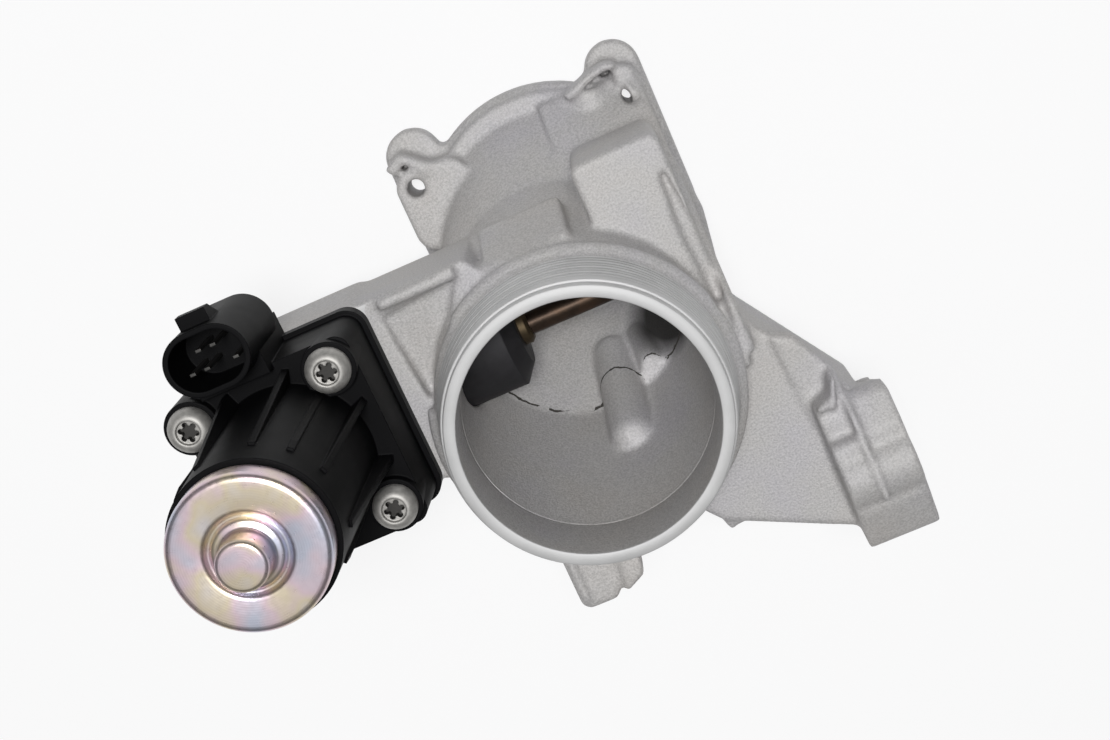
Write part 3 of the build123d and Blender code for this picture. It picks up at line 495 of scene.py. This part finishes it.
def zinc_plate(settings):
    """Yellow-passivated zinc: straw, pink and blue drifts over drawn steel."""
    finish = Finish("passivated_zinc")
    drift = finish.spots(size=0.014, detail=2.0)
    tone = finish.ramp(drift, "Fac", (
        (0.30, tuple(settings.plating_blue)),
        (0.45, tuple(settings.plating_pink)),
        (0.56, tuple(settings.plating_yellow)),
        (0.72, (0.70, 0.66, 0.66)),
    ))
    finish.colour(tone, "Color")
    finish.shader.inputs["Metallic"].default_value = 0.95
    fine = finish.spots(size=0.0012, detail=4.0)
    finish.rough(finish.spread(fine, "Fac", low=0.20, high=0.42), "Result")
    rings = finish.rings((MOTOR_X, MOTOR_Y, 0), "Z", pitch=0.0006)
    bevel = finish.rounded(radius=0.0006)
    fine_bump = finish.bump(fine, "Fac", strength=0.08, distance=0.0001, under=bevel)
    finish.normal(finish.bump(rings, "Fac", strength=0.10, distance=0.00005, under=fine_bump))
    return finish.material


def plain_steel(name, colour, rough=(0.25, 0.45), spot=0.004, metallic=0.95, edge=0.0003):
    """Steel or brass with faint stains, fine scratches and brighter edges."""
    finish = Finish(name)
    stains = finish.spots(spot, detail=4.0)
    bevel = finish.rounded(edge)
    tone = finish.ramp(stains, "Fac", ((0.3, shade(colour, 0.8)), (0.7, shade(colour, 1.15))))
    bright = finish.mix((finish.edges(bevel), "Result"), (tone, "Color"), shade(colour, 1.5))
    finish.colour(bright, MIXED)
    finish.shader.inputs["Metallic"].default_value = metallic
    finish.rough(finish.spread(stains, "Fac", low=rough[0], high=rough[1]), "Result")
    fine = finish.spots(size=0.0005, detail=3.0)
    finish.normal(finish.bump(fine, "Fac", strength=0.12, distance=0.00006, under=bevel))
    return finish.material


def soot_steel(settings):
    """Steel in the exhaust gas: brown tint with darker sooty clouds."""
    finish = Finish("heat_tinted_steel")
    base = tuple(settings.stem_colour)
    clouds = finish.spots(size=0.006, detail=5.0)
    finish.colour(finish.ramp(clouds, "Fac", (
        (0.30, shade(base, 0.55)), (0.5, base), (0.7, (base[0] * 1.5, base[1] * 1.35, base[2] * 1.2)),
    )), "Color")
    finish.shader.inputs["Metallic"].default_value = 0.9
    finish.rough(finish.spread(clouds, "Fac", low=0.28, high=0.5), "Result")
    fine = finish.spots(size=0.0006, detail=3.0)
    finish.normal(finish.bump(fine, "Fac", strength=0.15, distance=0.0001))
    return finish.material


def floor_paper():
    """White paper that the camera and reflections see as glowing."""
    paper = Finish("floor_paper")
    paper.shader.inputs["Base Color"].default_value = FLOOR_COLOUR
    paper.shader.inputs["Roughness"].default_value = 0.9
    speck = paper.spots(size=0.02, detail=2.0)
    paper.normal(paper.bump(speck, "Fac", strength=0.02, distance=0.0002))
    glow = paper.node("ShaderNodeEmission")
    glow.inputs["Color"].default_value = (1, 1, 1, 1)
    glow.inputs["Strength"].default_value = 1.0
    rays = paper.node("ShaderNodeLightPath")
    glossy = paper.maths("MAXIMUM", (rays, "Is Glossy Ray"), (rays, "Is Transmission Ray"))
    seen = paper.maths("MAXIMUM", (rays, "Is Camera Ray"), (glossy, "Value"))
    share = paper.maths("MULTIPLY", (seen, "Value"), FLOOR_GLOW)
    blend = paper.node("ShaderNodeMixShader")
    for number, value in enumerate(((share, "Value"), (paper.shader, "BSDF"), (glow, "Emission"))):
        paper.feed(blend.inputs[number], value)
    paper.link(blend, "Shader", paper.output, "Surface")
    return paper.material


def dress(node, material):
    """Give a CAD node one material."""
    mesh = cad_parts[node].data
    mesh.materials.clear()
    mesh.materials.append(material)


# ----------------------------------------------------------------- modelling
def clear_selection():
    """Deselect every object."""
    for chosen in bpy.context.selected_objects:
        chosen.select_set(False)


def choose(*pieces):
    """Select only these pieces; the first is active."""
    clear_selection()
    for piece in pieces:
        piece.select_set(True)
    bpy.context.view_layer.objects.active = pieces[0]


def settle(piece):
    """Put a piece's place, turn and scale into its mesh."""
    choose(piece)
    bpy.ops.object.transform_apply(location=True, rotation=True, scale=True)
    return piece


def apply_modifier(piece, kind, **values):
    """Add one modifier with its values and apply it."""
    choose(piece)
    modifier = piece.modifiers.new(kind.lower(), kind)
    for key, value in values.items():
        setattr(modifier, key, value)
    bpy.ops.object.modifier_apply(modifier=modifier.name)


def join(first, *others):
    """Make one piece of several."""
    choose(first, *others)
    bpy.ops.object.join()
    return first


def cut_out(piece, cutter):
    """Take a cutter's volume out of a piece and delete the cutter."""
    apply_modifier(piece, "BOOLEAN", operation="DIFFERENCE", object=cutter, solver="EXACT", use_self=True)
    bpy.data.objects.remove(cutter)


def copy_at(piece, name, shift, turn=0.0, centre=(0, 0, 0)):
    """A copy with its own mesh, turned about the vertical through centre and moved by shift."""
    choose(piece)
    bpy.ops.object.duplicate(linked=False)
    made = bpy.context.object
    made.name = name
    bpy.ops.transform.rotate(value=turn, orient_axis="Z", center_override=centre)
    bpy.ops.transform.translate(value=shift)
    return settle(made)


def node_copy(node, name):
    """A CAD node's mesh as a piece of its own, with its loose triangles merged."""
    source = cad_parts[node]
    piece = bpy.data.objects.new(name, source.data.copy())
    bpy.context.collection.objects.link(piece)
    piece.data.materials.clear()
    choose(piece)
    bpy.ops.object.mode_set(mode="EDIT")
    bpy.ops.mesh.select_all(action="SELECT")
    bpy.ops.mesh.remove_doubles(threshold=CAD_WELD)
    bpy.ops.object.mode_set(mode="OBJECT")
    return piece


def raised(section, level):
    """A section whose heights count from a level."""
    return [(radius, level + height) for radius, height in section]


def turned(name, profile, centre, steps=96, axis=(0, 0, 1)):
    """Lathe a closed profile of (radius, height) in millimetres about an axis through centre.

    The profile is drawn in the XZ plane for an upright axis, and along X for a level one.
    """
    level = axis[0] == 1
    points = [
        Vector(centre) + (Vector((z, r, 0)) if level else Vector((r, 0, z))) * MM for r, z in profile
    ]
    clear_selection()
    bpy.ops.mesh.primitive_plane_add(size=MM, location=points[0])
    piece = bpy.context.object
    piece.name = name
    settle(piece)
    bpy.ops.object.mode_set(mode="EDIT")
    bpy.ops.mesh.select_all(action="SELECT")
    bpy.ops.mesh.merge(type="CENTER")
    closed = profile[0][0] > 0 and profile[-1][0] > 0
    for start, end in zip(points, points[1:] + (points[:1] if closed else [])):
        bpy.ops.mesh.extrude_region_move(TRANSFORM_OT_translate={"value": end - start})
    bpy.ops.mesh.select_all(action="SELECT")
    bpy.ops.mesh.remove_doubles(threshold=WELD)
    bpy.ops.mesh.spin(steps=steps, angle=2 * math.pi, center=centre, axis=axis)
    bpy.ops.mesh.select_all(action="SELECT")
    bpy.ops.mesh.remove_doubles(threshold=WELD)
    bpy.ops.mesh.normals_make_consistent(inside=False)
    bpy.ops.object.mode_set(mode="OBJECT")
    return piece


def slab(name, outline, plane, low, high, tilt=0):
    """Extrude an outline in millimetres between two levels of a plane.

    A tilt in degrees tips it about X through its first point.
    """
    def place(a, b, level):
        spots = {"XY": (a, b, level), "YZ": (level, a, b), "XZ": (a, level, b)}
        return Vector(spots[plane]) * MM
    points = [place(a, b, low) for a, b in outline]
    clear_selection()
    bpy.ops.mesh.primitive_plane_add(size=MM, location=points[0])
    piece = bpy.context.object
    piece.name = name
    settle(piece)
    bpy.ops.object.mode_set(mode="EDIT")
    bpy.ops.mesh.select_all(action="SELECT")
    bpy.ops.mesh.merge(type="CENTER")
    for start, end in zip(points, points[1:] + points[:1]):
        bpy.ops.mesh.extrude_region_move(TRANSFORM_OT_translate={"value": end - start})
    bpy.ops.mesh.select_all(action="SELECT")
    bpy.ops.mesh.remove_doubles(threshold=WELD)
    bpy.ops.mesh.edge_face_add()
    bpy.ops.mesh.extrude_region_move(
        TRANSFORM_OT_translate={"value": place(0, 0, high) - place(0, 0, low)})
    bpy.ops.mesh.select_all(action="SELECT")
    bpy.ops.mesh.normals_make_consistent(inside=False)
    if tilt:
        bpy.ops.transform.rotate(value=math.radians(tilt), orient_axis="X", center_override=points[0])
    bpy.ops.object.mode_set(mode="OBJECT")
    return piece


def inlet_wall():
    """The wall over the opening that the housing's solid should not have, with the inlet bore through it."""
    wall = slab("inlet_wall", *INLET_WALL)
    bore = [(0, INLET_BACK), (INLET_BORE, INLET_BACK), (INLET_BORE, INLET_FACE), (0, INLET_FACE)]
    cut_out(wall, turned("inlet_bore", bore, (0, INLET_Y * MM, INLET_Z * MM), steps=64, axis=(1, 0, 0)))
    return wall


def finish_piece(piece, body, nodes, material, angle=35):
    """Shade a piece, dress it, hang it on its body's empty and hide the CAD nodes it takes the place of."""
    choose(piece)
    bpy.ops.object.shade_smooth_by_angle(angle=math.radians(angle))
    piece.data.materials.clear()
    for finish in material if isinstance(material, (list, tuple)) else (material,):
        piece.data.materials.append(finish)
    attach(piece, body)
    if nodes:
        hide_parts(*nodes)
    return piece


def spigot_profile():
    """Section of the turned spigot: tapered wall with grooves, shoulder, rim and bore."""
    def wall(height):
        (foot_radius, foot), (top_radius, top) = WALL_FOOT, WALL_TOP
        return foot_radius - (height - foot) * (foot_radius - top_radius) / (top - foot)
    points = [(MOUTH_BORE, SPIGOT_FOOT), (wall(SPIGOT_FOOT), SPIGOT_FOOT)]
    flank = GROOVE_DEPTH - 0.1
    for number in range(GROOVES):
        low = SPIGOT_FOOT + 0.2 + number * GROOVE_PITCH
        points += [
            (wall(low), low), (wall(low) - flank, low + 0.2), (wall(low) - GROOVE_DEPTH, low + 0.5),
            (wall(low) - GROOVE_DEPTH, low + 0.8), (wall(low) - flank, low + 1.1),
            (wall(low + 1.3), low + 1.3), (wall(low + 2.5), low + 2.5),
            (wall(low + 2.6) - SCORE_DEPTH, low + 2.6),
            (wall(low + 2.9) - SCORE_DEPTH, low + 2.9), (wall(low + 3.0), low + 3.0),
        ]
    return points + raised(RIM_SECTION, SPIGOT_TOP)


# ----------------------------------------------------------------- operators
class VALVE_OT_casting(bpy.types.Operator):
    """Finish the casting: blasted skin, turned spigot and milled joint faces"""

    bl_idname = "valve.casting"
    bl_label = "Casting"

    @staticmethod
    def is_milled(centre, normal):
        """Whether a face lies on the manifold face, the inlet flange or the gearbox's joint face."""
        manifold_face = centre.z < FACE_BAND * MM
        inlet_face = centre.x > (INLET_FACE - 0.2) * MM and normal.x > 0.9
        joint_level = abs(centre.z - JOINT_FACE * MM) < FACE_BAND * MM and normal.z > 0.95
        return manifold_face or inlet_face or (joint_level and centre.x < JOINT_EDGE * MM)

    def execute(self, context):
        settings = context.scene.valve_casting
        skin = cast_aluminium(settings)
        turned_face = machined_aluminium(
            settings, "turned_aluminium", (MOUTH_X, MOUTH_Y, 0), "Z", pitch=0.0004)
        milled_face = machined_aluminium(settings, "milled_aluminium", (0, 0, 0), "Z", pitch=0.0007)
        casting = node_copy("housing", "casting")
        cut_out(casting, join(*[slab(name, *shape) for name, shape in CAST_CUTS.items()]))
        join(casting, inlet_wall(), *[slab(name, *shape) for name, shape in CAST_FORMS.items()])
        apply_modifier(casting, "REMESH", mode="VOXEL", voxel_size=settings.cell)
        apply_modifier(casting, "SMOOTH", factor=0.5, iterations=settings.softness)
        choose(casting)
        bpy.ops.object.mode_set(mode="EDIT")
        bpy.ops.mesh.select_all(action="SELECT")
        bpy.ops.mesh.bisect(
            plane_co=(0, 0, (SPIGOT_FOOT + SPIGOT_OVERLAP) * MM), plane_no=(0, 0, 1),
            clear_outer=True, use_fill=True)
        bpy.ops.object.mode_set(mode="OBJECT")
        faces = sum(len(face.vertices) - 2 for face in casting.data.polygons)
        apply_modifier(casting, "DECIMATE", ratio=min(1.0, settings.triangles / faces))
        finish_piece(casting, "valve_body", ["housing"], [skin, milled_face], angle=180)
        for face in casting.data.polygons:
            if self.is_milled(face.center, face.normal):
                face.material_index = 1
        spigot = turned("spigot", spigot_profile(), (MOUTH_X, MOUTH_Y, 0), steps=192)
        finish_piece(spigot, "valve_body", ["housing"], [turned_face, skin], angle=30)
        for face in spigot.data.polygons:
            from_axis = math.hypot(face.center.x - MOUTH_X, face.center.y - MOUTH_Y)
            in_bore = from_axis < (MOUTH_BORE + 0.2) * MM
            if in_bore and face.center.z < (SPIGOT_TOP - 1) * MM:
                face.material_index = 1
        return {"FINISHED"}


class VALVE_OT_valve_train(bpy.types.Operator):
    """Finish the stem, poppet, seat, guide, spring and seal"""

    bl_idname = "valve.valve_train"
    bl_label = "Valve Train"

    def execute(self, context):
        settings = context.scene.valve_train
        tinted = soot_steel(settings)
        for node in ("stem", "poppet"):
            dress(node, tinted)
        dress("guide_tower", plain_steel(
            "dark_cast_iron", tuple(settings.tower_colour),
            rough=(0.5, 0.7), spot=0.003, metallic=0.5, edge=0.0006))
        ground = plain_steel("ground_steel", (0.42, 0.42, 0.43))
        for node in ("seat_ring", "spring_retainer", "spring_seat", "stem_yoke", "follower_pin",
                     "follower_roller", "cam", "output_shaft", "intermediate_pin"):
            dress(node, ground)
        dress("return_spring", plain_steel(
            "spring_wire", (0.33, 0.33, 0.35), rough=(0.25, 0.4), spot=0.003))
        dress("stem_seal", moulded_plastic(
            "seal_rubber", (0.012, 0.012, 0.012), grain=0.0005, rough=(0.6, 0.8)))
        dress("guide_bush", plain_steel(
            "bush_bronze", (0.10, 0.075, 0.045), rough=(0.45, 0.6), spot=0.002))
        dress("output_bush", plain_steel(
            "bearing_brass", (0.55, 0.42, 0.2), rough=(0.3, 0.45), spot=0.002))
        return {"FINISHED"}


class VALVE_OT_gears(bpy.types.Operator):
    """Finish the gear wheels and the motor pinion"""

    bl_idname = "valve.gears"
    bl_label = "Gear Train"

    def execute(self, context):
        nylon = moulded_plastic("gear_nylon", (0.62, 0.60, 0.53), grain=0.0006, rough=(0.4, 0.5))
        for node in ("output_wheel", "intermediate_wheel"):
            dress(node, nylon)
        dress("motor_pinion", plain_steel(
            "pinion_brass", (0.6, 0.46, 0.22), rough=(0.25, 0.4), spot=0.002))
        return {"FINISHED"}


class VALVE_OT_motor(bpy.types.Operator):
    """Finish the motor's can, cap, magnets and rotor"""

    bl_idname = "valve.motor"
    bl_label = "Motor"

    def execute(self, context):
        plating = zinc_plate(context.scene.valve_motor)
        dress("motor_can", plating)
        cap = turned("end_cap", raised(CAP_SECTION, CAP_FOOT), (MOTOR_X, MOTOR_Y, 0), steps=160)
        finish_piece(cap, "valve_body", ["motor_end_cap"], plating, angle=40)
        core = plain_steel(
            "laminated_core", (0.12, 0.12, 0.13), rough=(0.4, 0.6), spot=0.002, metallic=0.7)
        for node in ("motor_magnets", "rotor_core", "sensor_magnet"):
            dress(node, core)
        dress("rotor_shaft", plain_steel("shaft_steel", (0.45, 0.45, 0.46)))
        return {"FINISHED"}


class VALVE_OT_cover(bpy.types.Operator):
    """Finish the actuator cover, its gasket and the plug socket's pins"""

    bl_idname = "valve.cover"
    bl_label = "Actuator Cover"

    def execute(self, context):
        settings = context.scene.valve_cover
        dress("actuator_cover", moulded_plastic("cover_plastic", tuple(settings.colour), settings.grain))
        dress("cover_gasket", moulded_plastic(
            "gasket_rubber", (0.02, 0.02, 0.02), grain=0.0006, rough=(0.6, 0.8)))
        dress("connector_pins", plain_steel(
            "pin_tin", (0.07, 0.068, 0.066), rough=(0.4, 0.55), spot=0.002))
        return {"FINISHED"}


class VALVE_OT_screws(bpy.types.Operator):
    """Finish the cover screws"""

    bl_idname = "valve.screws"
    bl_label = "Cover Screws"

    def finish_screw(self, screw, x, y, zinc, recess_shade):
        """Dress a screw, with painted shade down in its recess."""
        finish_piece(screw, "valve_body", ["cover_screws"], [zinc, recess_shade])
        for face in screw.data.polygons:
            from_axis = math.hypot(face.center.x - x, face.center.y - y)
            in_head = SCREW_SEAT * MM < face.center.z < (SCREW_SEAT + RECESS_SHADE_TOP) * MM
            if in_head and from_axis < RECESS_SHADE_RADIUS * MM:
                face.material_index = 1

    def execute(self, context):
        zinc = plain_steel(
            "screw_zinc", (0.42, 0.41, 0.39), rough=(0.45, 0.65), spot=0.0016, metallic=0.7, edge=0.0004)
        # painted shade: a dark material for the floor of each screw's recess
        recess_shade = plain_steel(
            "painted_recess_shade", (0.035, 0.033, 0.03), rough=(0.5, 0.7), spot=0.0008, metallic=0.2, edge=0.0002)
        x, y = SCREW_SPOTS[0]
        centre = (x, y, 0)
        screw = turned("cover_screw_1", raised(SCREW_SECTION, SCREW_SEAT), centre, steps=64)
        cutters = []
        for number in range(LOBES + 1):
            angle = 2 * math.pi * number / LOBES
            reach, radius = (LOBE_REACH, LOBE_RADIUS) if number < LOBES else (0.0, RECESS_RADIUS)
            across, along = reach * MM * math.cos(angle), reach * MM * math.sin(angle)
            clear_selection()
            bpy.ops.mesh.primitive_cylinder_add(
                vertices=24, radius=radius * MM, depth=RECESS_DEPTH * MM,
                location=(x + across, y + along, (SCREW_SEAT + RECESS_MIDDLE) * MM))
            cutters.append(settle(context.object))
        cut_out(screw, join(*cutters))
        for number, ((to_x, to_y), turn) in enumerate(zip(SCREW_SPOTS[1:], SCREW_TURNS), 2):
            made = copy_at(screw, f"cover_screw_{number}", (to_x - x, to_y - y, 0), turn, centre)
            self.finish_screw(made, to_x, to_y, zinc, recess_shade)
        self.finish_screw(screw, x, y, zinc, recess_shade)
        return {"FINISHED"}


class VALVE_OT_stage(bpy.types.Operator):
    """Add the floor, the lamps, the surrounding light and the camera"""

    bl_idname = "valve.stage"
    bl_label = "Stage"

    def execute(self, context):
        settings = context.scene.valve_stage
        clear_selection()
        bpy.ops.mesh.primitive_plane_add(size=settings.floor_size, location=(0, 0, CAD_BOX[0][2]))
        floor = context.object
        floor.name = "floor"
        floor.data.materials.append(floor_paper())

        world = context.scene.world or bpy.data.worlds.new("surroundings")
        context.scene.world = world
        world.use_nodes = True
        air = world.node_tree.nodes["Background"]
        air.inputs["Color"].default_value = (1, 1, 1, 1)
        air.inputs["Strength"].default_value = settings.fill_strength

        for name, place, size, share, aim in LAMPS:
            lamp = bpy.data.lights.new(name, "AREA")
            lamp.size = size
            lamp.energy = settings.key_power * share
            holder = bpy.data.objects.new(name, lamp)
            holder.location = place
            holder.rotation_euler = (Vector(aim) - Vector(place)).to_track_quat("-Z", "Y").to_euler()
            context.collection.objects.link(holder)

        lens = bpy.data.cameras.new("camera")
        lens.sensor_width = SENSOR_WIDTH
        lens.lens = FOCAL_LENGTH
        lens.clip_start = 0.01
        eye = bpy.data.objects.new("camera", lens)
        eye.location = EYE_PLACE
        eye.rotation_euler = [math.radians(turn) for turn in EYE_TURN]
        context.collection.objects.link(eye)
        context.scene.camera = eye
        context.scene.view_settings.view_transform = "Standard"
        return {"FINISHED"}


class VALVE_PT_panel(bpy.types.Panel):
    """Sidebar panel with the valve's settings and a button for each operator"""

    bl_idname = "VALVE_PT_panel"
    bl_label = "Valve"
    bl_space_type = "VIEW_3D"
    bl_region_type = "UI"
    bl_category = "Valve"

    def draw(self, context):
        for settings in (context.scene.valve_casting, context.scene.valve_cover, context.scene.valve_motor,
                         context.scene.valve_train, context.scene.valve_stage):
            for name in settings.bl_rna.properties.keys():
                if name not in {"rna_type", "name"}:
                    self.layout.prop(settings, name)
        for operator in OPERATORS:
            self.layout.operator(operator.bl_idname)


SETTINGS = {
    "valve_casting": CastingSettings,
    "valve_cover": CoverSettings,
    "valve_motor": MotorSettings,
    "valve_train": ValveSettings,
    "valve_stage": StageSettings,
}
OPERATORS = (
    VALVE_OT_casting,
    VALVE_OT_valve_train,
    VALVE_OT_gears,
    VALVE_OT_motor,
    VALVE_OT_cover,
    VALVE_OT_screws,
    VALVE_OT_stage,
)


def register():
    for group in SETTINGS.values():
        bpy.utils.register_class(group)
    for name, group in SETTINGS.items():
        setattr(bpy.types.Scene, name, PointerProperty(type=group))
    for operator in OPERATORS:
        bpy.utils.register_class(operator)
    bpy.utils.register_class(VALVE_PT_panel)


def unregister():
    bpy.utils.unregister_class(VALVE_PT_panel)
    for operator in reversed(OPERATORS):
        bpy.utils.unregister_class(operator)
    for name, group in reversed(SETTINGS.items()):
        delattr(bpy.types.Scene, name)
        bpy.utils.unregister_class(group)


def main():
    register()
    bpy.ops.valve.casting()
    bpy.ops.valve.valve_train()
    bpy.ops.valve.gears()
    bpy.ops.valve.motor()
    bpy.ops.valve.cover()
    bpy.ops.valve.screws()
    bpy.ops.valve.stage()


if __name__ == "__main__":
    main()
